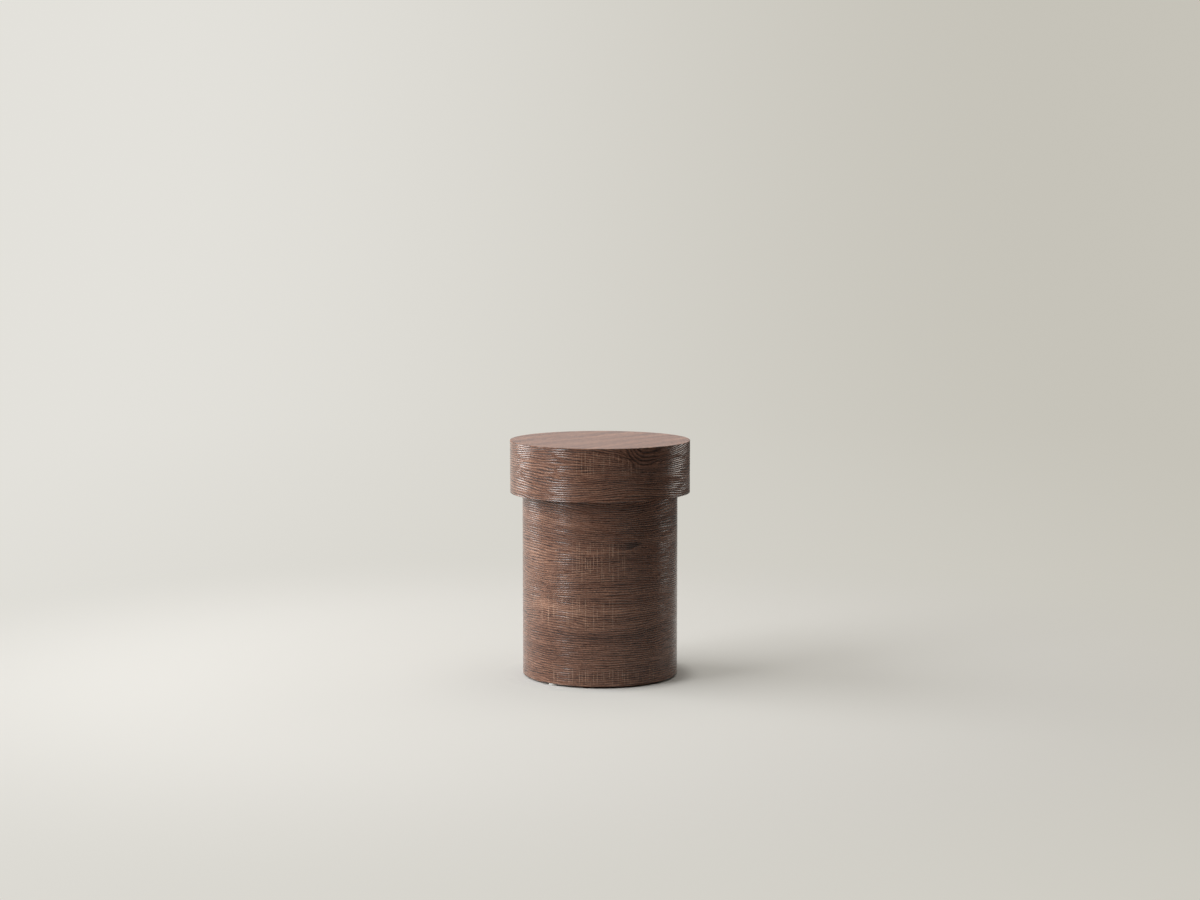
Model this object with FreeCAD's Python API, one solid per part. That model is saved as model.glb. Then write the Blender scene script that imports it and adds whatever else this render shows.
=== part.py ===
import FreeCAD, Part
import math
import os

# Drum side table: a wide shallow drum, the cap, fixed on a narrower drum.
# Both are MDF panels and formers, halved together with struts, skinned with
# two layers of bending plywood and wrapped in a wood-look laminate.
# Millimetres, +Z up. The origin is on the floor under the middle of the
# table, and the front is towards -Y. Angles are degrees about +Z from +X.

# Overall sizes
TOTAL_HEIGHT = 500.0
CAP_DIAMETER = 380.0
CAP_HEIGHT = 110.0
DRUM_DIAMETER = 328.0

# Wood-look laminate
FACE_THICKNESS = 1.0
FACE_RIM_RADIUS = 0.8
UNDERFACE_THICKNESS = 0.8
WRAP_THICKNESS = 0.8
WRAP_SEAM_GAP = 0.3
WRAP_SEAM_ANGLE = 90.0

# Bending plywood, two layers with their seams on different struts
PLY_THICKNESS = 3.0
PLY_SEAM_GAP = 0.6
OUTER_PLY_SEAM_ANGLE = 180.0
INNER_PLY_SEAM_ANGLE = 0.0

# Glue between the bent layers, and between them and the formers
GLUE_LINE = 0.15

# MDF panels and formers
TOP_PANEL_THICKNESS = 18.0
CAP_BASE_THICKNESS = 12.0
END_FORMER_THICKNESS = 15.0
MIDDLE_FORMER_THICKNESS = 12.0
FORMER_RING_WIDTH = 58.0
BOTTOM_PANEL_THICKNESS = 6.0

# MDF struts, halved into the formers and housed in the top panel
STRUT_COUNT = 4
STRUT_THICKNESS = 12.0
STRUT_DEPTH = 40.0
STRUT_HOUSING_DEPTH = 5.0
HALVING_CLEARANCE = 0.1
HALVING_SHARE = 0.5

# Countersunk screws that hold the cap on the drum
CAP_SCREW_LENGTH = 25.0
CAP_SCREW_SHANK_DIAMETER = 4.0
CAP_SCREW_HEAD_DIAMETER = 8.0
CAP_SCREW_INSET = 34.0

# Countersunk screws that hold the bottom panel
BOTTOM_SCREW_LENGTH = 16.0
BOTTOM_SCREW_SHANK_DIAMETER = 3.5
BOTTOM_SCREW_HEAD_DIAMETER = 7.0
BOTTOM_SCREW_INSET = 34.0

# What the two kinds of screw share
SCREW_HEAD_RIM = 0.4
SCREW_POINT_SHARE = 0.2
SCREW_CLEARANCE = 0.05

# Nail-on plastic glides
GLIDE_COUNT = 3
GLIDE_FIRST_ANGLE = 231.0
GLIDE_DIAMETER = 21.0
GLIDE_HEIGHT = 4.0
GLIDE_EDGE_RADIUS = 1.4
GLIDE_EDGE_INSET = 1.5
GLIDE_WEB = 1.8
NAIL_LENGTH = 18.0
NAIL_SHANK_DIAMETER = 2.4
NAIL_HEAD_DIAMETER = 7.0
NAIL_HEAD_THICKNESS = 1.2
NAIL_POINT_LENGTH = 3.0
NAIL_CLEARANCE = 0.05

# How far a cutting body runs past what it cuts
OVERRUN = 2.0

# Radii worked out from the outside in
CAP_RADIUS = CAP_DIAMETER / 2
DRUM_RADIUS = DRUM_DIAMETER / 2
WRAP_LAYER = WRAP_THICKNESS + GLUE_LINE
PLY_LAYER = PLY_THICKNESS + GLUE_LINE
SKIN_DEPTH = WRAP_LAYER + 2 * PLY_LAYER
CAP_CORE_RADIUS = CAP_RADIUS - SKIN_DEPTH
DRUM_CORE_RADIUS = DRUM_RADIUS - SKIN_DEPTH
FORMER_HOLE_RADIUS = DRUM_CORE_RADIUS - FORMER_RING_WIDTH
NOTCH_DEPTH = STRUT_DEPTH * HALVING_SHARE

# Levels worked out from the floor up: (lower face, upper face)
DRUM_BOTTOM = GLIDE_HEIGHT
DRUM_TOP = TOTAL_HEIGHT - CAP_HEIGHT
BOTTOM_PANEL = (DRUM_BOTTOM, DRUM_BOTTOM + BOTTOM_PANEL_THICKNESS)
BOTTOM_FORMER = (BOTTOM_PANEL[1], BOTTOM_PANEL[1] + END_FORMER_THICKNESS)
TOP_FORMER = (DRUM_TOP - END_FORMER_THICKNESS, DRUM_TOP)
MIDDLE_FORMER_BASE = (BOTTOM_FORMER[1] + TOP_FORMER[0] - MIDDLE_FORMER_THICKNESS) / 2
MIDDLE_FORMER = (MIDDLE_FORMER_BASE, MIDDLE_FORMER_BASE + MIDDLE_FORMER_THICKNESS)
UNDERFACE = (DRUM_TOP, DRUM_TOP + UNDERFACE_THICKNESS)
CAP_BASE = (UNDERFACE[1], UNDERFACE[1] + CAP_BASE_THICKNESS)
FACE = (TOTAL_HEIGHT - FACE_THICKNESS, TOTAL_HEIGHT)
TOP_PANEL = (FACE[0] - TOP_PANEL_THICKNESS, FACE[0])
TOP_HOUSING = (TOP_PANEL[0], TOP_PANEL[0] + STRUT_HOUSING_DEPTH)
DRUM_SKIN = (DRUM_BOTTOM, DRUM_TOP)
CAP_PLIES = (UNDERFACE[1], FACE[0])
CAP_WRAP = (UNDERFACE[0], FACE[0])

ORIGIN = FreeCAD.Vector(0, 0, 0)
UP = FreeCAD.Vector(0, 0, 1)
FULL_TURN = 360.0


# Shapes that several pieces share


def point(radius, height):
    """A point of a turned profile, in the XZ plane."""
    return FreeCAD.Vector(radius, 0, height)


def turned(profile, angle=FULL_TURN):
    """Solid made by turning a closed profile of (radius, height) pairs about Z."""
    points = [point(*pair) for pair in profile]
    wire = Part.makePolygon(points + points[:1])
    return Part.Face(wire).revolve(ORIGIN, UP, angle)


def section(inner_radius, outer_radius, levels):
    """Rectangular profile between two radii and two levels."""
    low, high = levels
    return [(inner_radius, low), (outer_radius, low), (outer_radius, high), (inner_radius, high)]


def disc(radius, levels, hole_radius=0.0):
    """Flat round panel between two levels, with an optional hole in the middle."""
    return turned(section(hole_radius, radius, levels))


def bent_sheet(outer_radius, thickness, levels, seam_angle, seam_gap):
    """Sheet bent into a tube, whose two edges meet at a butt seam."""
    gap_angle = math.degrees(seam_gap / outer_radius)
    profile = section(outer_radius - thickness, outer_radius, levels)
    sheet = turned(profile, FULL_TURN - gap_angle)
    sheet.rotate(ORIGIN, UP, seam_angle + gap_angle / 2)
    return sheet


def skins(name, outer_radius, ply_levels, wrap_levels):
    """The two plies bent round a core, and the wrap round them, one node to each."""
    outer_ply_radius = outer_radius - WRAP_LAYER
    inner_ply_radius = outer_ply_radius - PLY_LAYER
    return {
        f"{name}_inner_ply": bent_sheet(
            inner_ply_radius, PLY_THICKNESS, ply_levels, INNER_PLY_SEAM_ANGLE, PLY_SEAM_GAP),
        f"{name}_outer_ply": bent_sheet(
            outer_ply_radius, PLY_THICKNESS, ply_levels, OUTER_PLY_SEAM_ANGLE, PLY_SEAM_GAP),
        f"{name}_wrap": bent_sheet(
            outer_radius, WRAP_THICKNESS, wrap_levels, WRAP_SEAM_ANGLE, WRAP_SEAM_GAP),
    }


def eased(shape, edge_radius, level, ease):
    """Round off the circular edges that have a radius and lie at a level."""
    circles = [edge for edge in shape.Edges if isinstance(edge.Curve, Part.Circle)]
    picked = [
        edge for edge in circles
        if math.isclose(edge.Curve.Radius, edge_radius) and math.isclose(edge.Curve.Center.z, level)]
    return shape.makeFillet(ease, picked)


def moved_to(shape, radius, angle):
    """Copy of a shape on the Z axis, moved out to a radius and turned to an angle."""
    copy = shape.copy()
    copy.translate(point(radius, 0))
    copy.rotate(ORIGIN, UP, angle)
    return copy


def pattern_angles(count, first):
    """Angles of a pattern spread evenly round a full turn."""
    return [first + FULL_TURN * index / count for index in range(count)]


def ring_of(shape, radius, angles):
    """Copies of a shape on the Z axis, at each angle of a pattern."""
    return [moved_to(shape, radius, angle) for angle in angles]


# Struts, and the rim notches that they fill

STRUT_ANGLES = pattern_angles(STRUT_COUNT, 0.0)
BETWEEN_STRUTS = pattern_angles(STRUT_COUNT, FULL_TURN / STRUT_COUNT / 2)


def radial_block(inner_radius, outer_radius, width, levels):
    """Block that stands on the +X axis and is as thick as width."""
    low, high = levels
    corner = FreeCAD.Vector(inner_radius, -width / 2, low)
    return Part.makeBox(outer_radius - inner_radius, width, high - low, corner)


def rim_notches(core_radius, levels):
    """Cutting blocks for the notches in a former's rim, one to each strut."""
    width = STRUT_THICKNESS + 2 * HALVING_CLEARANCE
    inner_radius = core_radius - NOTCH_DEPTH - HALVING_CLEARANCE
    block = radial_block(inner_radius, core_radius + OVERRUN, width, levels)
    return ring_of(block, 0.0, STRUT_ANGLES)


def strut(core_radius, levels, crossings):
    """Strut on the +X axis: its outer edge follows the skin, and its inner half
    is cut away wherever a panel or former crosses it."""
    inner_radius = core_radius - STRUT_DEPTH
    board = radial_block(inner_radius, core_radius + OVERRUN, STRUT_THICKNESS, levels)
    board = board.common(disc(core_radius, levels))
    for low, high in crossings:
        slot_levels = (low - HALVING_CLEARANCE, high + HALVING_CLEARANCE)
        slot_end = core_radius - NOTCH_DEPTH
        slot_width = STRUT_THICKNESS + 2 * OVERRUN
        board = board.cut(radial_block(inner_radius - OVERRUN, slot_end, slot_width, slot_levels))
    return board


def struts(name, shape):
    """One node to each strut of a set."""
    copies = ring_of(shape, 0.0, STRUT_ANGLES)
    return {f"{name}_{index}": copy for index, copy in enumerate(copies, 1)}


# Fasteners


def countersunk_screw(length, shank_diameter, head_diameter, base, grow=0.0):
    """Wood screw pointing up from its flush head at a level. Grown, it is its own hole."""
    shank = shank_diameter / 2 + grow
    head = head_diameter / 2 + grow
    neck = base + SCREW_HEAD_RIM + head - shank
    tip = base + length + grow
    shoulder = tip - length * SCREW_POINT_SHARE
    return turned([
        (0, base),
        (head, base),
        (head, base + SCREW_HEAD_RIM),
        (shank, neck),
        (shank, shoulder),
        (0, tip),
    ])


def cap_screw(grow=0.0):
    return countersunk_screw(
        CAP_SCREW_LENGTH, CAP_SCREW_SHANK_DIAMETER, CAP_SCREW_HEAD_DIAMETER, TOP_FORMER[0], grow)


def bottom_screw(grow=0.0):
    return countersunk_screw(
        BOTTOM_SCREW_LENGTH, BOTTOM_SCREW_SHANK_DIAMETER, BOTTOM_SCREW_HEAD_DIAMETER,
        BOTTOM_PANEL[0], grow)


def glide_nail(grow=0.0):
    """Nail whose head seats in the glide, driven up through the bottom panel."""
    seat = GLIDE_HEIGHT - GLIDE_WEB
    shank = NAIL_SHANK_DIAMETER / 2 + grow
    head = NAIL_HEAD_DIAMETER / 2 + grow
    tip = seat + NAIL_LENGTH + grow
    return turned([
        (0, seat - NAIL_HEAD_THICKNESS),
        (head, seat - NAIL_HEAD_THICKNESS),
        (head, seat),
        (shank, seat),
        (shank, tip - NAIL_POINT_LENGTH),
        (0, tip),
    ])


CAP_SCREW_RADIUS = DRUM_CORE_RADIUS - CAP_SCREW_INSET
BOTTOM_SCREW_RADIUS = DRUM_CORE_RADIUS - BOTTOM_SCREW_INSET
GLIDE_RADIUS = GLIDE_DIAMETER / 2
GLIDE_CENTRE_RADIUS = DRUM_RADIUS - GLIDE_EDGE_INSET - GLIDE_RADIUS
GLIDE_ANGLES = pattern_angles(GLIDE_COUNT, GLIDE_FIRST_ANGLE)


def cap_screws(grow=0.0):
    return ring_of(cap_screw(grow), CAP_SCREW_RADIUS, BETWEEN_STRUTS)


def bottom_screws(grow=0.0):
    return ring_of(bottom_screw(grow), BOTTOM_SCREW_RADIUS, BETWEEN_STRUTS)


def glide_nails(grow=0.0):
    return ring_of(glide_nail(grow), GLIDE_CENTRE_RADIUS, GLIDE_ANGLES)


# Cap


def top_face():
    """Face sheet, trimmed flush with the wrap, with its rim eased to a round."""
    return eased(disc(CAP_RADIUS, FACE), CAP_RADIUS, FACE[1], FACE_RIM_RADIUS)


def top_panel():
    return disc(CAP_CORE_RADIUS, TOP_PANEL).cut(rim_notches(CAP_CORE_RADIUS, TOP_HOUSING))


def cap_base_panel():
    return disc(CAP_CORE_RADIUS, CAP_BASE).cut(
        rim_notches(CAP_CORE_RADIUS, CAP_BASE) + cap_screws(SCREW_CLEARANCE))


def cap_underface():
    """Sheet under the cap, inside the wrap's lower edge, that the drum stands against."""
    return disc(CAP_RADIUS - WRAP_LAYER, UNDERFACE).cut(cap_screws(SCREW_CLEARANCE))


def cap_strut():
    return strut(CAP_CORE_RADIUS, (CAP_BASE[0], TOP_HOUSING[1]), [CAP_BASE, TOP_HOUSING])


# Drum


def former(levels):
    """Ring of MDF with a notch in its rim for each strut."""
    ring = disc(DRUM_CORE_RADIUS, levels, FORMER_HOLE_RADIUS)
    return ring.cut(rim_notches(DRUM_CORE_RADIUS, levels))


def drum_formers():
    return {
        "drum_top_former": former(TOP_FORMER).cut(cap_screws(SCREW_CLEARANCE)),
        "drum_middle_former": former(MIDDLE_FORMER),
        "drum_bottom_former": former(BOTTOM_FORMER).cut(
            bottom_screws(SCREW_CLEARANCE) + glide_nails(NAIL_CLEARANCE)),
    }


def drum_strut():
    levels = (BOTTOM_FORMER[0], TOP_FORMER[1])
    return strut(DRUM_CORE_RADIUS, levels, [BOTTOM_FORMER, MIDDLE_FORMER, TOP_FORMER])


def bottom_panel():
    return disc(DRUM_CORE_RADIUS, BOTTOM_PANEL).cut(
        bottom_screws(SCREW_CLEARANCE) + glide_nails(NAIL_CLEARANCE))


# Glides


def glide():
    """Turned plastic foot with a rounded edge and a sunk seat for its nail."""
    seat = GLIDE_HEIGHT - GLIDE_WEB
    bore = NAIL_SHANK_DIAMETER / 2 + NAIL_CLEARANCE
    well = NAIL_HEAD_DIAMETER / 2 + NAIL_CLEARANCE
    foot = turned([
        (well, 0),
        (GLIDE_RADIUS, 0),
        (GLIDE_RADIUS, GLIDE_HEIGHT),
        (bore, GLIDE_HEIGHT),
        (bore, seat),
        (well, seat),
    ])
    return eased(foot, GLIDE_RADIUS, 0.0, GLIDE_EDGE_RADIUS)


def glides():
    copies = ring_of(glide(), GLIDE_CENTRE_RADIUS, GLIDE_ANGLES)
    return {f"glide_{index}": copy for index, copy in enumerate(copies, 1)}


def table():
    """Every node of the table, by name."""
    return {
        "top_face": top_face(),
        "top_panel": top_panel(),
        **skins("cap", CAP_RADIUS, CAP_PLIES, CAP_WRAP),
        **struts("cap_strut", cap_strut()),
        "cap_base_panel": cap_base_panel(),
        "cap_underface": cap_underface(),
        "cap_screws": Part.Compound(cap_screws()),
        **skins("drum", DRUM_RADIUS, DRUM_SKIN, DRUM_SKIN),
        **drum_formers(),
        **struts("drum_strut", drum_strut()),
        "bottom_panel": bottom_panel(),
        "bottom_screws": Part.Compound(bottom_screws()),
        **glides(),
        "glide_nails": Part.Compound(glide_nails()),
    }


os.makedirs("parts", exist_ok=True)
for node, shape in table().items():
    shape.exportStep(os.path.join("parts", f"{node}.step"))
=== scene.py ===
import math

import bpy
import numpy as np
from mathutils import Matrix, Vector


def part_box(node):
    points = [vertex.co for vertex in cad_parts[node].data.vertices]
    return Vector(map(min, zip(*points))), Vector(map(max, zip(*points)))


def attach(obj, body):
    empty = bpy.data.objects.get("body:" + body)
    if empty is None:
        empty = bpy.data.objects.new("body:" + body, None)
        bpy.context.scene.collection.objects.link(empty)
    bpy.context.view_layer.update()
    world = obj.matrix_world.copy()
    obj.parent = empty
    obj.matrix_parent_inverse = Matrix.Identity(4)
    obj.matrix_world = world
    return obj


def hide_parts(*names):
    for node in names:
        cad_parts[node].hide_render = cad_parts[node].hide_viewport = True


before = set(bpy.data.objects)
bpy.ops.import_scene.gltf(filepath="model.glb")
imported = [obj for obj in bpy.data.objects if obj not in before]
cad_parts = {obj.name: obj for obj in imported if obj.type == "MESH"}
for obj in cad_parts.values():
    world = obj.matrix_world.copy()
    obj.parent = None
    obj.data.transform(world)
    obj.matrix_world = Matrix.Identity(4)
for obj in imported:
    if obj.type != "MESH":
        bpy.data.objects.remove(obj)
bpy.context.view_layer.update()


# Board skeleton
# Panels, ring formers and struts sawn from raw MDF, halved together and glued.
# Only the panel under the drum can be seen, and it is the same fine brown board.

BOARD_PALE = (0.47, 0.335, 0.205)
BOARD_DARK = (0.30, 0.195, 0.105)
CHIP_SIZE = (0.0016, 0.0016, 0.0016)
CHIP_DEPTH = 0.00012
CLOUD_SIZE = (0.06, 0.06, 0.06)
BOARD_ROUGHNESS = 0.78


def colour(red, green, blue):
    """A colour with its alpha, as a socket takes it."""
    return (red, green, blue, 1.0)


class Wire:
    """An output socket of a material's node tree. Sums, differences, products, quotients and
    powers of wires and numbers add the Math nodes that work them out."""

    def __init__(self, tree, socket=None):
        self.tree = tree
        self.socket = socket

    def node(self, kind, settings=None, sockets=None, out=0):
        """A new node of a kind, as the wire from one of its outputs. Its settings are set
        first, a ramp's stops among them, then each socket gets its value or its link."""
        made = self.tree.nodes.new("ShaderNode" + kind)
        for name, value in (settings or {}).items():
            if name == "stops":
                stops = made.color_ramp.elements
                while len(stops) < len(value):
                    stops.new(1.0)
                for stop, (position, tint) in zip(stops, value):
                    stop.position = position
                    stop.color = colour(*tint)
            else:
                setattr(made, name, value)
        for key, value in (sockets or {}).items():
            if isinstance(value, Wire):
                self.tree.links.new(value.socket, made.inputs[key])
            else:
                made.inputs[key].default_value = value
        return Wire(self.tree, made.outputs[out] if made.outputs else None)

    def maths(self, operation, *values):
        """What a Math node makes of these values."""
        return self.node("Math", {"operation": operation}, dict(enumerate(values)))

    def __add__(self, other):
        return self.maths("ADD", self, other)

    def __sub__(self, other):
        return self.maths("SUBTRACT", self, other)

    def __rsub__(self, other):
        return self.maths("SUBTRACT", other, self)

    def __mul__(self, other):
        return self.maths("MULTIPLY", self, other)

    def __truediv__(self, other):
        return self.maths("DIVIDE", self, other)

    def __rtruediv__(self, other):
        return self.maths("DIVIDE", other, self)

    def __pow__(self, other):
        return self.maths("POWER", self, other)

    def __rpow__(self, other):
        return self.maths("POWER", other, self)

    __radd__ = __add__
    __rmul__ = __mul__

    def object_place(self):
        """The coordinates of the piece itself, in metres."""
        return self.node("TexCoord", None, None, "Object")

    def part(self, axis):
        """One of these coordinates, counted from 0."""
        return self.node("SeparateXYZ", None, {0: self}, axis)

    def length(self):
        """The length of this vector."""
        return self.node("VectorMath", {"operation": "LENGTH"}, {0: self}, "Value")

    def step(self, low, high):
        """0 below low, 1 above high, and smooth between them."""
        return self.node(
            "MapRange", {"interpolation_type": "SMOOTHSTEP"},
            {"Value": self, "From Min": low, "From Max": high})

    def noise(self, lengths, detail):
        """Noise from 0 to 1 whose grains have these lengths along the coordinates."""
        scaled = self.node("VectorMath", {"operation": "DIVIDE"}, {0: self, 1: lengths})
        return self.node("TexNoise", None, {"Vector": scaled, "Scale": 1.0, "Detail": detail}, "Fac")

    def ramp(self, *stops):
        """The colour at this value between stops of a position and a colour."""
        return self.node("ValToRGB", {"stops": stops}, {"Fac": self})

    def mixed(self, first, second):
        """The colour that lies this far from the first colour to the second."""
        return self.node("Mix", {"data_type": "RGBA"}, {0: self, 6: first, 7: second}, 2)


def new_material(name):
    """An empty material and the wire that its nodes start from."""
    material = bpy.data.materials.new(name)
    material.use_nodes = True
    material.node_tree.nodes.clear()
    return material, Wire(material.node_tree)


def finish_material(start, sockets, height, bump_depth):
    """Puts a Principled shader with these sockets on the material's output, with a bump of the
    height times a depth in metres."""
    bump = start.node("Bump", None, {"Height": height, "Distance": bump_depth})
    shader = start.node("BsdfPrincipled", None, {**sockets, "Normal": bump})
    start.node("OutputMaterial", None, {"Surface": shader})


def dress(names, material):
    """Gives CAD nodes a material in place of their plain one."""
    for name in names:
        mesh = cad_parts[name].data
        mesh.materials.clear()
        mesh.materials.append(material)


material, start = new_material("raw_board")
place = start.object_place()
chips = place.noise(CHIP_SIZE, detail=3.0)
cloud = place.noise(CLOUD_SIZE, detail=2.0)
shade = 0.25 + 0.75 * chips + 0.35 * (cloud - 0.5)
finish_material(
    start,
    {"Base Color": shade.ramp((0.25, BOARD_DARK), (0.85, BOARD_PALE)),
     "Roughness": BOARD_ROUGHNESS + 0.12 * (chips - 0.5)},
    chips, CHIP_DEPTH)
dress(["top_panel", "cap_base_panel", "bottom_panel"], material)
dress(["drum_top_former", "drum_middle_former", "drum_bottom_former"], material)
for number in range(1, 5):
    dress([f"cap_strut_{number}", f"drum_strut_{number}"], material)


# Plywood skins
# Two layers of bending plywood round the drum and two round the cap, glued to the formers and to
# each other. Their faces are raw veneer with the grain upright, their edges show three layers.

VENEER_PALE = (0.60, 0.44, 0.28)
VENEER_DARK = (0.40, 0.26, 0.145)
VENEER_LAYER = 0.001
VENEER_GRAIN_SIZE = (0.0022, 0.0022, 0.09)
VENEER_GRAIN_DEPTH = 0.0002
VENEER_ROUGHNESS = 0.68

material, start = new_material("bending_plywood")
place = start.object_place()
level_part = start.node("VectorMath", {"operation": "MULTIPLY"}, {0: place, 1: (1.0, 1.0, 0.0)})
layer = start.maths("PINGPONG", level_part.length() / VENEER_LAYER, 1.0)
grain = place.noise(VENEER_GRAIN_SIZE, detail=4.0)
shade = 0.15 + 0.7 * grain + 0.2 * layer.step(0.2, 0.8)
finish_material(
    start,
    {"Base Color": shade.ramp((0.25, VENEER_DARK), (0.85, VENEER_PALE)),
     "Roughness": VENEER_ROUGHNESS + 0.2 * (grain - 0.5)},
    grain, VENEER_GRAIN_DEPTH)
dress(["drum_inner_ply", "drum_outer_ply", "cap_inner_ply", "cap_outer_ply"], material)


# Cap screws
# Countersunk wood screws, plated yellow, driven up through the drum's top former into the cap.
# They are shut in for good once the bottom panel is on.

YELLOW_ZINC = (0.66, 0.56, 0.34)
STRAW_ZINC = (0.55, 0.50, 0.42)
SCREW_BLOOM_SIZE = (0.003, 0.003, 0.003)
LATHE_LINE_SIZE = (0.004, 0.004, 0.00025)
LATHE_LINE_DEPTH = 0.00003
SCREW_ROUGHNESS = 0.26

screw_zinc, start = new_material("yellow_zinc")
place = start.object_place()
bloom = place.noise(SCREW_BLOOM_SIZE, detail=3.0)
lathe_lines = place.noise(LATHE_LINE_SIZE, detail=2.0)
finish_material(
    start,
    {"Base Color": bloom.ramp((0.35, YELLOW_ZINC), (0.7, STRAW_ZINC)),
     "Metallic": 1.0,
     "Roughness": SCREW_ROUGHNESS + 0.2 * bloom},
    lathe_lines, LATHE_LINE_DEPTH)
dress(["cap_screws"], screw_zinc)


# Drum wrap
# A sheet of embossed wood-look laminate, its grain lying level, bent once round the drum and glued.
# Its ends meet in a butt seam at the back, and its top edge runs up against the cap.

SHEET_THICKNESS = 0.0008
SEAM_GAP = 0.0003
EDGE_EASE = 0.0003
EDGE_ROWS = 4
CORNER_ANGLE = math.radians(40.0)
DRUM_ROWS = 520
DRUM_COLUMNS = 186

# The embossed ridges. Periods are pairs of limits, first along the grain, then across it.
DRUM_PITCH = 0.0046
WAVES = 64
ENVELOPE_FLOOR = 0.15
RIDGE_LENGTHS = (0.08, 0.45)
RIDGE_PITCHES = (0.87, 1.15)
FLANK_DRAW = 0.95
GROOVE_DEPTH = 0.0006
GROOVE_SHARE = 0.86
GROOVE_CHANGE = 0.14
GROOVE_DASH_LENGTHS = (0.04, 0.16)
GROOVE_DASH_PITCHES = (1.4, 4.0)
GROOVE_DASH_CONTRAST = 1.5
SWAY_PERIODS = ((0.25, 0.6), (0.10, 0.3))
WAVER_PERIODS = ((0.05, 0.14), (0.02, 0.08))
FLOW_TURN = -25.0
FLOW_LEVEL = 0.35
FLOW_LENGTH = 0.07
FLOW_HEIGHT = 0.06
FLOW_RISE = 0.008

# The print. A step is the pair of values between which a mark comes in or goes out.
WRAP_ROUGHNESS = 0.22
GRAIN_DARK = (0.028, 0.0115, 0.0070)
GRAIN_MID = (0.131, 0.0605, 0.0385)
GRAIN_LIGHT = (0.266, 0.147, 0.0970)
STREAK_SIZE = (0.12, 0.0048, 1.0)
DASH_SIZE = (0.025, 0.0034, 1.0)
DASH_STEP = (0.50, 0.66)
FIBRE_SIZE = (0.020, 0.0017, 1.0)
FLECK_SIZE = (0.0045, 0.0014, 1.0)
PORE_SIZE = (0.010, 0.00045, 1.0)
PORE_STEP = (0.60, 0.72)
PRINT_DEPTH = 0.00007
DRUM_RINGS = 1.3
RING_PERIODS = ((0.6, 1.5), (0.03, 0.08))
SPEAR_TURN = 31.0
SPEAR_LEVEL = 0.299
SPEAR_TONE = -8.0
SPEAR_DROP = 0.016
SPEAR_DROP_RUN = 0.025
SPEAR_DROP_BLUR = 0.0007
SPEAR_LIFT = 0.0075
SPEAR_LIFT_RUN = 0.035
SPEAR_LIFT_BLUR = 0.0012
SPEAR_POINT = 0.002
SPEAR_FADE = 0.036
SPEAR_LINE_TONE = 4.5
SPEAR_LINE_OFFSET = 0.0010
SPEAR_LINE_WIDTH = 0.0011
SPEAR_LINE_POINT = 0.004
SPEAR_LINE_FADE = 0.08
DRUM_TONE_SPREAD = 0.55
DRUM_TONE_PERIODS = ((0.5, 1.3), (0.025, 0.08))
# Turn from the front in degrees, level, half length, half height and strength of each tone.
DRUM_TONES = (
    (-46.0, 0.261, 0.050, 0.014, 2.4),
    (-44.0, 0.164, 0.035, 0.015, 3.2),
    (-18.0, 0.153, 0.040, 0.012, 2.8),
    (18.0, 0.158, 0.050, 0.012, 1.8),
    (8.0, 0.106, 0.140, 0.013, -1.8),
    (-45.0, 0.070, 0.060, 0.020, -1.2))
SAW_PALE = (0.38, 0.25, 0.175)
SAW_PITCH = 0.0068
SAW_LINE_STEP = (0.03, 0.11)
SAW_RUN_SIZE = (0.007, 0.040, 1.0)
SAW_RUN_STEP = (0.43, 0.55)
SAW_BLUR_ACROSS = 0.006
# First and last turn in degrees, lowest and highest level, and end blur of each group of saw marks.
DRUM_SAW_GROUPS = (
    (-20.0, 20.0, 0.222, 0.304, 0.012),
    (-60.0, 9.0, 0.128, 0.184, 0.015),
    (-40.0, 45.0, 0.008, 0.038, 0.015))


def reach(node):
    """A turned CAD node's radius, its lowest level and its highest."""
    low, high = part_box(node)
    return max(-low.x, -low.y, high.x, high.y), low.z, high.z


def random_waves(along, across, periods_along, periods_across, seed, even=False):
    """A smooth random field of unit spread over lengths along and across the grain: the sum of
    many cosine waves of random phase, with periods drawn between two limits each way. An even
    field is divided by the waves' own envelope, so that nearly all its crests come close to 1."""
    draw = np.random.default_rng(seed)
    rate_along = 2.0 * math.pi / draw.uniform(*periods_along, WAVES) * draw.choice((-1.0, 1.0), WAVES)
    rate_across = 2.0 * math.pi / draw.uniform(*periods_across, WAVES)
    phase = draw.uniform(0.0, 2.0 * math.pi, WAVES)
    total = np.zeros(np.broadcast_shapes(np.shape(along), np.shape(across)), dtype=complex)
    for wave_along, wave_across, wave_phase in zip(rate_along, rate_across, phase):
        total += np.exp(1j * (wave_along * along + wave_across * across + wave_phase))
    if even:
        return total.real / np.sqrt(np.abs(total) ** 2 + ENVELOPE_FLOOR * WAVES)
    return total.real / math.sqrt(WAVES / 2.0)


def hill(along, across, centre, half_size):
    """1 at a centre, falling off as exp(-distance squared), with a half size each way."""
    first = (along - centre[0]) / half_size[0]
    second = (across - centre[1]) / half_size[1]
    return np.exp(-first ** 2 - second ** 2)


def patch(along, across, low, high, blur):
    """About 1 between a low and a high corner and 0 outside, with its sides blurred by a length
    each way: the product of four tanh steps."""
    inside = 1.0
    for value, first, last, width in zip((along, across), low, high, blur):
        rise = 1.0 + np.tanh((value - first) / width)
        fall = 1.0 + np.tanh((last - value) / width)
        inside = inside * (0.25 * rise * fall)
    return inside


def tone_marks(along, across, degree, tones):
    """Lighter and darker places of the print: the sum of hills, each times its strength."""
    return sum(
        strength * hill(along, across, (turn * degree, level), (half_length, half_height))
        for turn, level, half_length, half_height, strength in tones)


def saw_marks(along, across, degree, groups):
    """The mask of groups of saw marks: the sum of their blurred patches."""
    return sum(
        patch(along, across, (first * degree, low), (last * degree, high), (blur, SAW_BLUR_ACROSS))
        for first, last, low, high, blur in groups)


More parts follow.
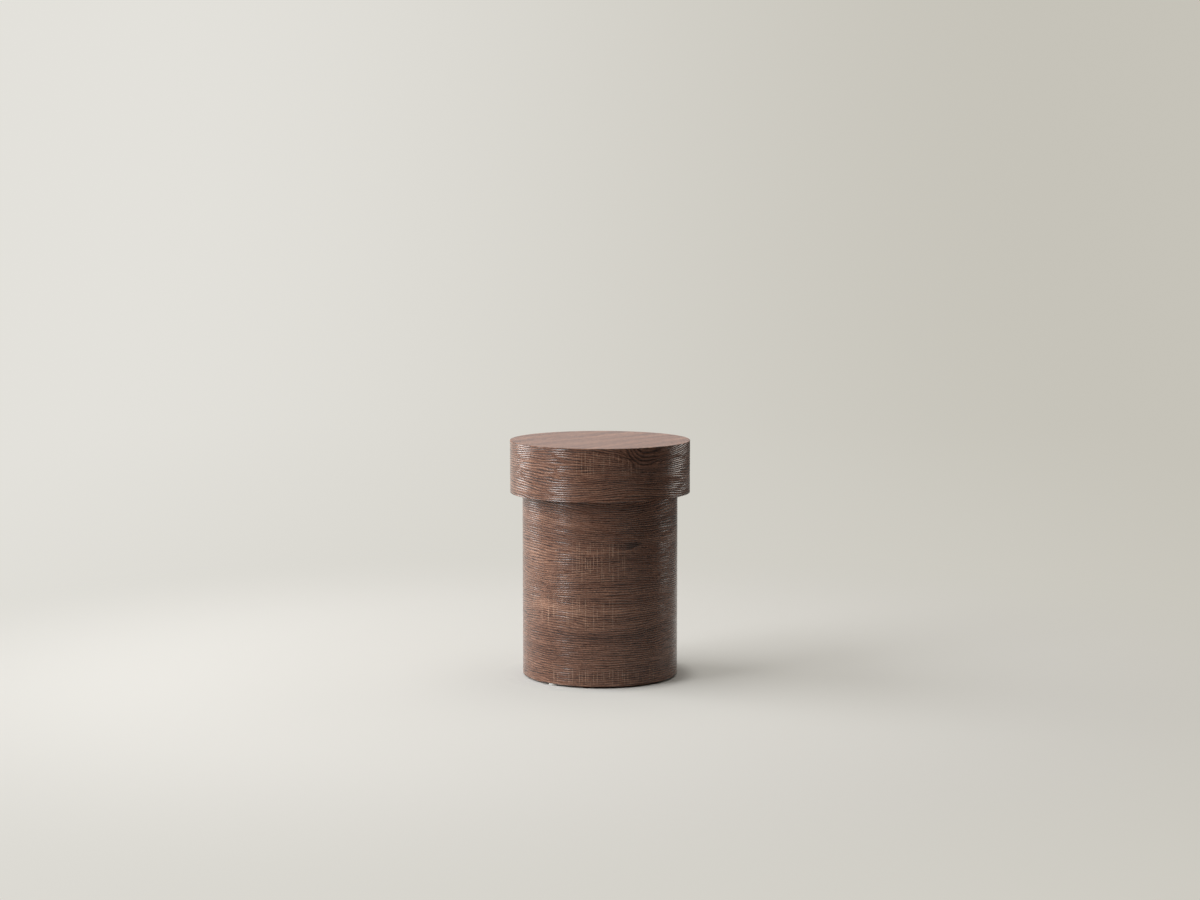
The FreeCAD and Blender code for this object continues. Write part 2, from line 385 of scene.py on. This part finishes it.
def spear_mark(along, level, tip_along, tip_level):
    """A dark spear that points to the right, and the pale line along its lower edge. Behind the
    tip, a lower curve drops and an upper one rises from the tip's level as 1 - exp(-distance). The
    spear is the product of tanh steps at both curves, faded as exp(-distance squared), and the
    line is exp(-height off the lower curve squared)."""
    behind = np.maximum(tip_along - along, 0.0)
    under = level - tip_level + SPEAR_DROP * (1.0 - np.exp(-behind / SPEAR_DROP_RUN))
    over = tip_level + SPEAR_LIFT * (1.0 - np.exp(-behind / SPEAR_LIFT_RUN)) - level
    inside = 0.25 * (1.0 + np.tanh(under / SPEAR_DROP_BLUR)) * (1.0 + np.tanh(over / SPEAR_LIFT_BLUR))
    spear = inside * np.minimum(behind / SPEAR_POINT, 1.0) * np.exp(-(behind / SPEAR_FADE) ** 2)
    line = np.exp(-((under + SPEAR_LINE_OFFSET) / SPEAR_LINE_WIDTH) ** 2 - behind / SPEAR_LINE_FADE)
    return spear, line * np.minimum(behind / SPEAR_LINE_POINT, 1.0)


def stray(along, level, sway, waver, seeds):
    """How far the grain strays from its level: a field of long waves times the sway plus one of
    short waves times the waver."""
    return (sway * random_waves(along, level, *SWAY_PERIODS, seeds[0])
            + waver * random_waves(along, level, *WAVER_PERIODS, seeds[1]))


def brushed_ridges(along, across, pitch, seeds):
    """Brushed grain as heights from 0 to 1: even random waves about one pitch wide, drawn towards
    straight flanks by an arcsine, with grooves that a field of short dashes makes deep or shallow."""
    ridge_widths = [share * pitch for share in RIDGE_PITCHES]
    waves = random_waves(along, across, RIDGE_LENGTHS, ridge_widths, seeds[0], even=True)
    flanks = np.arcsin(FLANK_DRAW * waves) / math.asin(FLANK_DRAW)
    dash_widths = [share * pitch for share in GROOVE_DASH_PITCHES]
    dashes = random_waves(along, across, GROOVE_DASH_LENGTHS, dash_widths, seeds[1])
    depth = GROOVE_SHARE + GROOVE_CHANGE * np.tanh(GROOVE_DASH_CONTRAST * dashes)
    return 1.0 - depth * (0.5 - 0.5 * flanks)


def wrap_grid(node, rows, columns):
    """The lengths round a wrap, from its front and positive to the right, the levels of its rows,
    which draw together at the eased edges, and the length of one degree."""
    radius, low, high = reach(node)
    half_turn = math.pi - SEAM_GAP / 2.0 / radius
    along = radius * np.linspace(-half_turn, half_turn, columns)[None, :]
    ease = EDGE_EASE * (1.0 - np.cos(np.linspace(0.0, math.pi / 2.0, EDGE_ROWS)))
    middle = np.linspace(low + EDGE_EASE, high - EDGE_EASE, rows)[1:-1]
    level = np.concatenate([low + ease, middle, high - ease[::-1]])[:, None]
    return along, level, radius * math.radians(1.0)


def ring_faces(rings):
    """Quads between neighbouring rings, each a row of point numbers that closes on itself."""
    ahead = np.roll(rings, -1, axis=1)
    return np.stack([rings[:-1], rings[1:], ahead[1:], ahead[:-1]], axis=-1).reshape(-1, 4)


def new_object(name, points, faces, material, corner_angle=CORNER_ANGLE):
    """A smooth mesh object, sharp where its faces turn by more than the corner angle."""
    mesh = bpy.data.meshes.new(name)
    mesh.from_pydata(points.reshape(-1, 3), [], faces, shade_flat=False)
    mesh.set_sharp_from_angle(angle=corner_angle)
    mesh.materials.append(material)
    made = bpy.data.objects.new(name, mesh)
    bpy.context.scene.collection.objects.link(made)
    return made


def laminate_piece(name, node, points, faces, fields, grain, material):
    """A piece of laminate in place of a CAD node, with its fields as attributes of its points,
    and the lengths along and across the grain, in metres, as its UV map."""
    piece = new_object(name, points, faces, material)
    mesh = piece.data
    for field, values in fields.items():
        mesh.attributes.new(field, "FLOAT", "POINT").data.foreach_set("value", values.ravel())
    corner = np.empty(len(mesh.loops), dtype=np.int32)
    mesh.loops.foreach_get("vertex_index", corner)
    flat = np.stack([part.ravel() for part in grain], axis=-1)
    mesh.uv_layers.new(name="Grain").uv.foreach_set("vector", flat[corner].ravel())
    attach(piece, "root")
    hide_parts(node)


def wrap_piece(name, node, along, level, across, fields, material):
    """A wrap bent round a circle: each point of the grid stands at the turn length / radius, at its
    level, sunk from the radius by the groove depth times (1 - ridge) and by the quarter round of
    its edges. Two more rows carry the plain back of the sheet, and the seam's ends are closed."""
    radius, low, high = reach(node)
    to_edge = np.minimum(np.minimum(level - low, high - level), EDGE_EASE)
    round_off = EDGE_EASE - np.sqrt(EDGE_EASE ** 2 - (EDGE_EASE - to_edge) ** 2)
    front = radius - GROOVE_DEPTH * (1.0 - fields["ridge"]) * to_edge / EDGE_EASE - round_off
    back = np.full((2, along.size), radius - SHEET_THICKNESS)
    away = np.concatenate([front, back])
    height = np.concatenate([level, [[high], [low]]]) + 0.0 * along
    turn = along / radius
    points = np.stack([away * np.sin(turn), -away * np.cos(turn), height], axis=-1)
    sections = np.arange(height.size).reshape(height.shape).T
    faces = [*ring_faces(sections).tolist(), sections[0].tolist(), sections[-1, ::-1].tolist()]
    fields = {key: np.concatenate([value, value[[-1, 0]]]) for key, value in fields.items()}
    across = np.concatenate([across, across[[-1, 0]]])
    laminate_piece(name, node, points, faces, fields, (along + 0.0 * across, across), material)


def printed_wood(start, place, ridge, rings, figure, tone, saw, roughness, gloss=None):
    """The laminate's finish over lengths along and across the grain. The tone, streaks, fibres and
    flecks move the colour from dark to light, and dashes and the late side of each growth ring
    darken it. Grooves and pores are darker and duller, and pale saw marks, random in their spacing
    and broken in their run, cross the grain where the saw mask is."""
    streak = place.noise(STREAK_SIZE, detail=3.0)
    dashes = place.noise(DASH_SIZE, detail=2.0).step(*DASH_STEP)
    fibre = place.noise(FIBRE_SIZE, detail=3.0)
    flecks = place.noise(FLECK_SIZE, detail=1.0)
    pores = place.noise(PORE_SIZE, detail=1.0).step(*PORE_STEP)
    late_wood = start.maths("FRACT", rings) ** 3.0
    groove = (1.0 - ridge) ** 1.5
    lightness = (0.76 + 0.10 * tone + 0.30 * (streak - 0.5) + 0.8 * (fibre - 0.5) + 1.0 * (flecks - 0.5)
                 - 0.20 * dashes - (0.06 + 0.5 * figure) * late_wood - 0.98 * groove - 0.10 * pores)
    wood = lightness.ramp((0.0, GRAIN_DARK), (0.5, GRAIN_MID), (1.0, GRAIN_LIGHT))
    tooth = place.part(0) / SAW_PITCH
    off_tooth = start.node(
        "TexVoronoi", {"voronoi_dimensions": "1D"}, {"W": tooth, "Scale": 1.0}, "Distance")
    lasting = place.noise(SAW_RUN_SIZE, detail=1.0).step(*SAW_RUN_STEP)
    chalk = saw * (1.0 - off_tooth.step(*SAW_LINE_STEP)) * lasting * (0.2 + 0.7 * ridge)
    finish_material(
        start,
        {"Base Color": chalk.mixed(wood, colour(*SAW_PALE)),
         "Roughness": roughness + 0.10 * groove + 0.14 * (streak - 0.5) + 0.1 * pores,
         **(gloss or {})},
        0.5 * fibre + 0.4 * flecks - 0.3 * pores, PRINT_DEPTH)


def grain_material(name, roughness, gloss=None):
    """The laminate's finish on a piece's own grain map and fields."""
    material, start = new_material(name)
    fields = [
        start.node("Attribute", {"attribute_name": field}, None, "Fac")
        for field in ("ridge", "rings", "figure", "tone", "saw")]
    printed_wood(start, start.node("UVMap", {"uv_map": "Grain"}), *fields, roughness, gloss)
    return material


# Near the drum's top edge the grain drops from left to right: a tanh step past one turn, which fades
# off its level as exp(-height squared).
laminate = grain_material("embossed_wood_laminate", WRAP_ROUGHNESS)
along, level, degree = wrap_grid("drum_wrap", DRUM_ROWS, DRUM_COLUMNS)
flow_side = np.tanh((along - FLOW_TURN * degree) / FLOW_LENGTH)
flow = flow_side * np.exp(-((level - FLOW_LEVEL) / FLOW_HEIGHT) ** 2)
across = level + FLOW_RISE * flow + stray(along, level, sway=0.003, waver=0.0004, seeds=(11, 15))
ridge = brushed_ridges(along, across, DRUM_PITCH, seeds=(12, 13))
rings = DRUM_RINGS * random_waves(along, across, *RING_PERIODS, seed=16)
spear, spear_line = spear_mark(along, level, SPEAR_TURN * degree, SPEAR_LEVEL)
tone = (DRUM_TONE_SPREAD * random_waves(along, across, *DRUM_TONE_PERIODS, seed=14)
        + SPEAR_TONE * spear + SPEAR_LINE_TONE * spear_line
        + tone_marks(along, across, degree, DRUM_TONES))
saw = saw_marks(along, across, degree, DRUM_SAW_GROUPS)
wrap_piece(
    "drum_wood_wrap", "drum_wrap", along, level, across,
    {"ridge": ridge, "rings": rings, "figure": np.zeros_like(ridge), "tone": tone, "saw": saw}, laminate)


# Cap wrap
# The same laminate, bent round the cap with its seam at the back. Its top edge stops under the
# top's sheet, and its lower edge is flush with the sheet under the overhang.

CAP_ROWS = 230
CAP_COLUMNS = 400
CAP_PITCH = 0.0048
CAP_RINGS = 1.2
BOWL_TURN = 29.0
BOWL_LEVEL = 0.515
BOWL_LEFT_LENGTH = 0.048
BOWL_RIGHT_LENGTH = 0.12
BOWL_HEIGHT = 0.057
BOWL_RISE = 0.03
BOWL_FADE = 0.05
BOWL_RINGS = 8.5
BOWL_EMBOSSING = 0.6
CAP_TONE_SPREAD = 0.5
CAP_BAND_PERIODS = ((0.5, 1.3), (0.02, 0.06))
CAP_LINE_PERIODS = ((0.15, 0.6), (0.006, 0.016))
CAP_TONES = (
    (0.0, 0.457, 0.060, 0.007, -1.2),
    (-25.0, 0.441, 0.060, 0.008, 1.0))
CAP_SAW_GROUPS = ((-14.0, 26.0, 0.449, 0.490, 0.012),)

# The bowl is a nest of growth-ring arcs, open towards the top edge, that the grain bends round. It is
# a hill with its top above the edge: its levels are the rings, and they emboss the sheet too.
along, level, degree = wrap_grid("cap_wrap", CAP_ROWS, CAP_COLUMNS)
bowl_along = BOWL_TURN * degree
bowl_length = np.where(along < bowl_along, BOWL_LEFT_LENGTH, BOWL_RIGHT_LENGTH)
bowl = hill(along, level, (bowl_along, BOWL_LEVEL), (bowl_length, BOWL_HEIGHT))
across = level + BOWL_RISE * bowl + stray(along, level, sway=0.002, waver=0.0005, seeds=(21, 25))
past_bowl = np.maximum(along - bowl_along, 0.0)
figure = np.clip(3.0 * bowl - 0.4, 0.0, 1.0) * np.exp(-(past_bowl / BOWL_FADE) ** 2)
plain_rings = CAP_RINGS * random_waves(along, across, *RING_PERIODS, seed=26)
rings = plain_rings * (1.0 - figure) + BOWL_RINGS * bowl
ridge = brushed_ridges(along, across, CAP_PITCH, seeds=(22, 23))
ridge = ridge + BOWL_EMBOSSING * figure * (0.5 - 0.5 * np.cos(2.0 * math.pi * rings) - ridge)
tone = (CAP_TONE_SPREAD * random_waves(along, across, *CAP_BAND_PERIODS, seed=24)
        + CAP_TONE_SPREAD * random_waves(along, across, *CAP_LINE_PERIODS, seed=27)
        + tone_marks(along, across, degree, CAP_TONES))
saw = saw_marks(along, across, degree, CAP_SAW_GROUPS)
wrap_piece(
    "cap_wood_wrap", "cap_wrap", along, level, across,
    {"ridge": ridge, "rings": rings, "figure": figure, "tone": tone, "saw": saw}, laminate)


# Sheet under the cap
# The same laminate, smooth here, cut to a disc and glued under the cap's base panel before the
# drum is screwed on, so that only the ring of the overhang shows.

UNDERSIDE_ROUGHNESS = 0.36
UNDERSIDE_RIDGE_SIZE = (0.08, 0.0035, 1.0)
UNDERSIDE_RIDGE_STEP = (0.35, 0.65)
UNDERSIDE_RING_SIZE = (0.7, 0.09, 1.0)
UNDERSIDE_FIGURE_SIZE = (0.5, 0.5, 1.0)
UNDERSIDE_TONE_SIZE = (0.4, 0.06, 1.0)
UNDERSIDE_SAW_SIZE = (0.16, 0.10, 1.0)
UNDERSIDE_SAW_STEP = (0.6, 0.7)

material, start = new_material("laminate_underside")
place = start.object_place()
printed_wood(
    start, place,
    ridge=0.5 + 0.5 * place.noise(UNDERSIDE_RIDGE_SIZE, detail=2.0).step(*UNDERSIDE_RIDGE_STEP),
    rings=6.0 * place.noise(UNDERSIDE_RING_SIZE, detail=1.0),
    figure=0.3 * place.noise(UNDERSIDE_FIGURE_SIZE, detail=1.0),
    tone=4.0 * (place.noise(UNDERSIDE_TONE_SIZE, detail=1.0) - 0.5),
    saw=place.noise(UNDERSIDE_SAW_SIZE, detail=1.0).step(*UNDERSIDE_SAW_STEP),
    roughness=UNDERSIDE_ROUGHNESS)
dress(["cap_underface"], material)


# Top sheet
# A disc of the same laminate with straight grain and shallower embossing, glued on the cap's top
# panel, with its rim eased so that a thin line of light runs round it.

TOP_ROWS = 430
TOP_COLUMNS = 200
TOP_PITCH = 0.0042
TOP_GROOVE_DEPTH = 0.00010
TOP_GRAIN_TURN = math.radians(50.0)
TOP_ROUGHNESS = 0.60
TOP_GLOSS = {"Sheen Weight": 0.17, "Specular IOR Level": 0.08}
TOP_SWAY = 0.004
TOP_SWAY_PERIODS = ((0.3, 0.7), (0.10, 0.3))
TOP_RINGS = 2.4
TOP_RING_PERIODS = ((0.5, 1.2), (0.05, 0.14))
TOP_FIGURE = 0.25
# Painted light: the top's print is set lighter than the wraps' by this offset, for the light that falls
# on the top.
TOP_TONE = 0.5
TOP_TONE_SPREAD = 0.7
TOP_TONE_PERIODS = ((0.4, 1.0), (0.03, 0.09))
TOP_SAW = 0.45
TOP_SAW_LOW = (-0.12, -0.05)
TOP_SAW_HIGH = (-0.02, 0.01)
TOP_SAW_BLUR = (0.02, 0.012)
PLAIN_RIM = 0.004
RIM_EASE = 0.0008
RIM_STEPS = 5


def round_disc(side, end, radius):
    """A square from -1 to 1 each way drawn in to a disc: each coordinate times
    sqrt(1 - the other squared / 2), times the radius."""
    return radius * side * np.sqrt(1.0 - end ** 2 / 2.0), radius * end * np.sqrt(1.0 - side ** 2 / 2.0)


def grid_faces(index):
    """Quads of an open grid of point numbers."""
    corners = [index[:-1, :-1], index[:-1, 1:], index[1:, 1:], index[1:, :-1]]
    return np.stack(corners, axis=-1).reshape(-1, 4)


def rim_order(index):
    """The point numbers along a grid's border, once round, in the turn of its faces."""
    return np.concatenate([index[0, :-1], index[:-1, -1], index[-1, :0:-1], index[:0:-1, 0]])


def with_rim(face, rim, shape):
    """The values of the flat face's points, followed by those of the rim's rings."""
    return np.concatenate([face.ravel(), np.broadcast_to(rim, shape).ravel()])


radius, low, high = reach("top_face")
flat_radius = radius - RIM_EASE
side, end = np.meshgrid(np.linspace(-1.0, 1.0, TOP_COLUMNS), np.linspace(-1.0, 1.0, TOP_ROWS))
along, across = round_disc(side, end, flat_radius)
wander = across + TOP_SWAY * random_waves(along, across, *TOP_SWAY_PERIODS, seed=31)
ridge = brushed_ridges(along, wander, TOP_PITCH, seeds=(32, 33))
# The top's tone starts from its lighter, painted-light offset.
fields = {
    "ridge": ridge,
    "rings": TOP_RINGS * random_waves(along, wander, *TOP_RING_PERIODS, seed=36),
    "figure": np.full_like(ridge, TOP_FIGURE),
    "tone": TOP_TONE + TOP_TONE_SPREAD * random_waves(along, wander, *TOP_TONE_PERIODS, seed=34),
    "saw": TOP_SAW * patch(along, wander, TOP_SAW_LOW, TOP_SAW_HIGH, TOP_SAW_BLUR)}
inward = np.clip((flat_radius - np.hypot(along, across)) / PLAIN_RIM, 0.0, 1.0)
height = high - TOP_GROOVE_DEPTH * (1.0 - ridge) * inward
index = np.arange(along.size).reshape(along.shape)
border = rim_order(index)
bend = np.linspace(0.0, math.pi / 2.0, RIM_STEPS + 1)[1:, None]
rim_radius = np.concatenate([flat_radius + RIM_EASE * np.sin(bend), [[radius]]])
rim_height = np.concatenate([high - RIM_EASE * (1.0 - np.cos(bend)), [[low]]])
heading = np.arctan2(across, along).ravel()[border]
shape = (rim_radius.size, border.size)
all_along = with_rim(along, rim_radius * np.cos(heading), shape)
all_across = with_rim(across, rim_radius * np.sin(heading), shape)
all_height = with_rim(height, rim_height, shape)
all_wander = with_rim(wander, wander.ravel()[border], shape)
fields = {key: with_rim(value, value.ravel()[border], shape) for key, value in fields.items()}
points = np.stack(
    [all_along * math.cos(TOP_GRAIN_TURN) - all_across * math.sin(TOP_GRAIN_TURN),
     all_along * math.sin(TOP_GRAIN_TURN) + all_across * math.cos(TOP_GRAIN_TURN),
     all_height], axis=-1)
rim_index = along.size + np.arange(rim_radius.size * border.size).reshape(shape)
rim = np.concatenate([border[None, :], rim_index])
faces = [*grid_faces(index).tolist(), *ring_faces(rim).tolist(), rim[-1, ::-1].tolist()]
laminate_piece(
    "top_wood_sheet", "top_face", points, faces, fields, (all_along, all_wander),
    grain_material("satin_wood_laminate", TOP_ROUGHNESS, TOP_GLOSS))


# Bottom panel screws
# Countersunk wood screws with a cross recess, plated yellow, that hold the bottom panel to the
# lowest former. Their heads lie flush with the panel, a quarter turn apart on one circle.

SCREW_ANGLES = np.radians([45.0, 135.0, 225.0, 315.0])[:, None, None]
SCREW_CIRCLE = 0.12275
SCREW_LENGTH = 0.016
SCREW_HEAD_RADIUS = 0.0035
SCREW_HEAD_EDGE = 0.0003
SCREW_SHANK_RADIUS = 0.0015
SCREW_TIP_LENGTH = 0.003
SCREW_TIP_RADIUS = 0.0001
SCREW_FACE_RINGS = 16
SCREW_FIRST_RING = 0.03
SCREW_SIDES = 64
SCREW_CORNER_ANGLE = math.radians(35.0)
RECESS_DEPTH = 0.0018
RECESS_HALF_WIDTH = 0.00055
RECESS_REACH = 0.0019
RECESS_SIDE_SLOPE = 0.0002
RECESS_END_SLOPE = 0.0012

# Each screw is a profile turned about its axis: head face, head edge, cone, shank and tip. The cross
# is sunk into its face by the smaller of two ramps, off the arms' sides and off their ends.
ground = reach("bottom_screws")[1]
face_radius = SCREW_HEAD_RADIUS * np.linspace(SCREW_FIRST_RING, 1.0, SCREW_FACE_RINGS)
body_radius = [SCREW_HEAD_RADIUS, SCREW_SHANK_RADIUS, SCREW_SHANK_RADIUS, SCREW_TIP_RADIUS]
cone_end = SCREW_HEAD_EDGE + SCREW_HEAD_RADIUS - SCREW_SHANK_RADIUS
body_height = [SCREW_HEAD_EDGE, cone_end, SCREW_LENGTH - SCREW_TIP_LENGTH, SCREW_LENGTH]
screw_radius = np.concatenate([face_radius, body_radius])[:, None]
screw_height = np.concatenate([np.zeros_like(face_radius), body_height])[:, None]
around = np.linspace(0.0, 2.0 * math.pi, SCREW_SIDES, endpoint=False)[None, :]
right = screw_radius * np.cos(around)
back = screw_radius * np.sin(around)
off_arm = np.minimum(np.abs(right), np.abs(back))
off_middle = np.maximum(np.abs(right), np.abs(back))
side_ramp = np.clip((RECESS_HALF_WIDTH - off_arm) / RECESS_SIDE_SLOPE, 0.0, 1.0)
end_ramp = np.clip((RECESS_REACH - off_middle) / RECESS_END_SLOPE, 0.0, 1.0)
on_face = (np.arange(screw_radius.size) < SCREW_FACE_RINGS)[:, None]
recess = RECESS_DEPTH * np.minimum(side_ramp, end_ramp) * on_face
points = np.stack(
    [SCREW_CIRCLE * np.cos(SCREW_ANGLES) + right,
     SCREW_CIRCLE * np.sin(SCREW_ANGLES) + back,
     np.broadcast_to(ground + screw_height + recess, (SCREW_ANGLES.size, *recess.shape))], axis=-1)
faces = []
for rings in np.arange(points.size // 3).reshape(points.shape[:-1]):
    faces += [*ring_faces(rings)[:, ::-1].tolist(), rings[0, ::-1].tolist(), rings[-1].tolist()]
piece = new_object("bottom_panel_screws", points, faces, screw_zinc, SCREW_CORNER_ANGLE)
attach(piece, "root")
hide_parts("bottom_screws")


# Glides
# Low discs of pale plastic under the drum's edge, each with a well in its middle for the zinc
# nail that holds it. They keep the drum just off the floor.

GLIDE_CLEAN = (0.66, 0.65, 0.615)
GLIDE_WORN = (0.44, 0.425, 0.39)
GLIDE_WEAR_HEIGHT = 0.0025
GLIDE_ROUGHNESS = 0.45
SCUFF_SIZE = (0.0035, 0.0012, 0.0012)
SCUFF_STEP = (0.5, 0.75)
PEBBLE_SIZE = (0.0005, 0.0005, 0.0005)
PEBBLE_DEPTH = 0.00006
BRIGHT_ZINC = (0.66, 0.67, 0.68)
DULL_ZINC = (0.50, 0.51, 0.52)
NAIL_BLOOM_SIZE = (0.002, 0.002, 0.002)
NAIL_BLOOM_DEPTH = 0.00003
NAIL_ROUGHNESS = 0.22

material, start = new_material("glide_plastic")
place = start.object_place()
scuffs = place.noise(SCUFF_SIZE, detail=4.0)
pebble = place.noise(PEBBLE_SIZE, detail=1.0)
low_down = 1.0 - place.part(2).step(0.0, GLIDE_WEAR_HEIGHT)
worn = scuffs.step(*SCUFF_STEP) * (0.3 + 0.7 * low_down)
finish_material(
    start,
    {"Base Color": worn.mixed(colour(*GLIDE_CLEAN), colour(*GLIDE_WORN)),
     "Roughness": GLIDE_ROUGHNESS + 0.2 * worn},
    0.6 * pebble + 0.4 * scuffs, PEBBLE_DEPTH)
dress(["glide_1", "glide_2", "glide_3"], material)

material, start = new_material("bright_zinc")
bloom = start.object_place().noise(NAIL_BLOOM_SIZE, detail=3.0)
finish_material(
    start,
    {"Base Color": bloom.ramp((0.35, BRIGHT_ZINC), (0.7, DULL_ZINC)),
     "Metallic": 1.0,
     "Roughness": NAIL_ROUGHNESS + 0.25 * bloom},
    bloom, NAIL_BLOOM_DEPTH)
dress(["glide_nails"], material)


# Studio
# A pale paper floor that turns up into a wall all round in one sweep, three upright soft boxes, a
# high one at the left and one overhead, and a camera where the photograph was taken from.

FLOOR_RADIUS = 5.6
FLOOR_RINGS = (0.05, 1.0, 3.0)
SWEEP_RADIUS = 2.2
SWEEP_STEPS = 13
WALL_HEIGHT = 5.0
PAPER_SIDES = 96
PAPER = (0.375, 0.3695, 0.356)
# Painted shade: the dark colour that the paper has for bounced light in front and at the right.
BOUNCE_SHADE = (0.10, 0.10, 0.10)
# Painted light: the far paper glows in these colours, brighter at the left.
FAR_LEFT = (0.77, 0.755, 0.71)
FAR_RIGHT = (0.563, 0.543, 0.483)
# Painted light: the share of the far glow mixed into the near paper, which lightens the table's shadow.
NEAR_GLOW = 0.35
# Each pair of lengths, from the middle of the floor, is where a change of the paper starts and ends.
SIDE_CHANGE = (-2.6, 2.6)
FAR_CHANGE = (0.8, 1.8)
GLOW_CHANGE = (0.165, 0.22)
FRONT_DIMMED = (0.6, 1.6)
RIGHT_DIMMED = (0.5, 1.1)
BACK_MIRRORED = (0.0, 2.0)
RIGHT_UNMIRRORED = (0.2, 1.4)
COOL = (0.985, 0.99, 1.0)
WARM = (1.0, 0.96, 0.895)
AIR = (1.0, 0.92, 0.84)
AIR_STRENGTH = 0.08
CAMERA_PLACE = (0.0, -4.8097, 0.9861)
CAMERA_DOWN = math.radians(6.033)
LENS = 68.76
SENSOR_WIDTH = 36.0

# The camera sees the far paper as a glow, painted light that is brighter at the left than at the right,
# and the near paper by its light and shadow, with a little of that glow mixed in as painted light that
# lightens the table's shadow on the floor. What bounces off the paper is dimmed in front and at the
# right, painted shade that only bounced light meets, and glossy pieces mirror the far glow at the back.
material, start = new_material("pale_paper")
place = start.object_place()
rightward = place.part(0)
backward = place.part(1)
away = place.length()
seen = start.node("LightPath", None, None, "Is Camera Ray")
mirrored = start.maths(
    "MAXIMUM",
    start.node("LightPath", None, None, "Is Glossy Ray"),
    start.node("LightPath", None, None, "Is Transmission Ray"))
dimmed = start.maths(
    "MAXIMUM", (-1.0 * backward).step(*FRONT_DIMMED), rightward.step(*RIGHT_DIMMED)) * (1.0 - seen)
lit = start.node("BsdfDiffuse", None, {"Color": dimmed.mixed(colour(*PAPER), colour(*BOUNCE_SHADE))})
far_colour = rightward.step(*SIDE_CHANGE).mixed(colour(*FAR_LEFT), colour(*FAR_RIGHT))
far = start.node("Emission", None, {"Color": far_colour})
far_off = away.step(*FAR_CHANGE)
near = NEAR_GLOW * away.step(*GLOW_CHANGE)
echoed = mirrored * backward.step(*BACK_MIRRORED) * (1.0 - rightward.step(*RIGHT_UNMIRRORED))
pale = start.maths("MAXIMUM", seen * (near + (1.0 - near) * far_off), echoed * far_off)
shader = start.node("MixShader", None, {0: pale, 1: lit, 2: far})
start.node("OutputMaterial", None, {"Surface": shader})

bend = np.linspace(0.0, math.pi / 2.0, SWEEP_STEPS)
sweep_radius = FLOOR_RADIUS + SWEEP_RADIUS * np.sin(bend)
sweep_height = SWEEP_RADIUS * (1.0 - np.cos(bend))
paper_radius = np.concatenate([FLOOR_RINGS, sweep_radius, [FLOOR_RADIUS + SWEEP_RADIUS]])[:, None]
paper_height = np.concatenate([np.zeros(len(FLOOR_RINGS)), sweep_height, [WALL_HEIGHT]])[:, None]
around = np.linspace(0.0, 2.0 * math.pi, PAPER_SIDES, endpoint=False)[None, :]
points = np.stack(
    [paper_radius * np.cos(around), paper_radius * np.sin(around), paper_height + 0.0 * around], axis=-1)
rings = np.arange(points.size // 3).reshape(points.shape[:2])
faces = [*ring_faces(rings).tolist(), rings[0].tolist()]
new_object("studio_paper", points, faces, material)

# Each soft box has a turn from the front in degrees, a distance, the height of its middle, a tilt
# down in degrees, its width and height, a tint and a radiance.
for name, turn, distance, middle, tilt, width, height, tint, radiance in (
        ("left_soft_box", -115.0, 4.6, 1.25, 0.0, 2.1, 1.1, COOL, 8.5),
        ("front_soft_box", -55.0, 4.6, 1.9, 0.0, 1.4, 1.5, COOL, 13.6),
        ("right_soft_box", 119.0, 4.6, 1.25, 0.0, 2.8, 1.0, WARM, 4.8),
        ("high_soft_box", -85.0, 4.0, 3.4, 38.0, 5.2, 3.0, COOL, 10.1),
        ("overhead_soft_box", 180.0, 0.6, 4.6, 90.0, 4.0, 4.0, WARM, 4.0)):
    turn = math.radians(turn)
    lamp = bpy.data.lights.new(name, "AREA")
    lamp.shape = "RECTANGLE"
    lamp.size = width
    lamp.size_y = height
    lamp.energy = radiance * math.pi * width * height
    lamp.color = tint
    box = bpy.data.objects.new(name, lamp)
    box.location = (distance * math.sin(turn), -distance * math.cos(turn), middle)
    box.rotation_euler = (math.radians(90.0 - tilt), 0.0, turn)
    box.visible_camera = False
    bpy.context.scene.collection.objects.link(box)

world = bpy.data.worlds.new("studio_air")
world.use_nodes = True
air = world.node_tree.nodes["Background"]
air.inputs["Color"].default_value = colour(*AIR)
air.inputs["Strength"].default_value = AIR_STRENGTH
bpy.context.scene.world = world

lens = bpy.data.cameras.new("camera")
lens.lens = LENS
lens.sensor_width = SENSOR_WIDTH
camera = bpy.data.objects.new("camera", lens)
camera.location = CAMERA_PLACE
camera.rotation_euler = (math.pi / 2.0 - CAMERA_DOWN, 0.0, 0.0)
bpy.context.scene.collection.objects.link(camera)
bpy.context.scene.camera = camera
bpy.context.scene.view_settings.view_transform = "Standard"
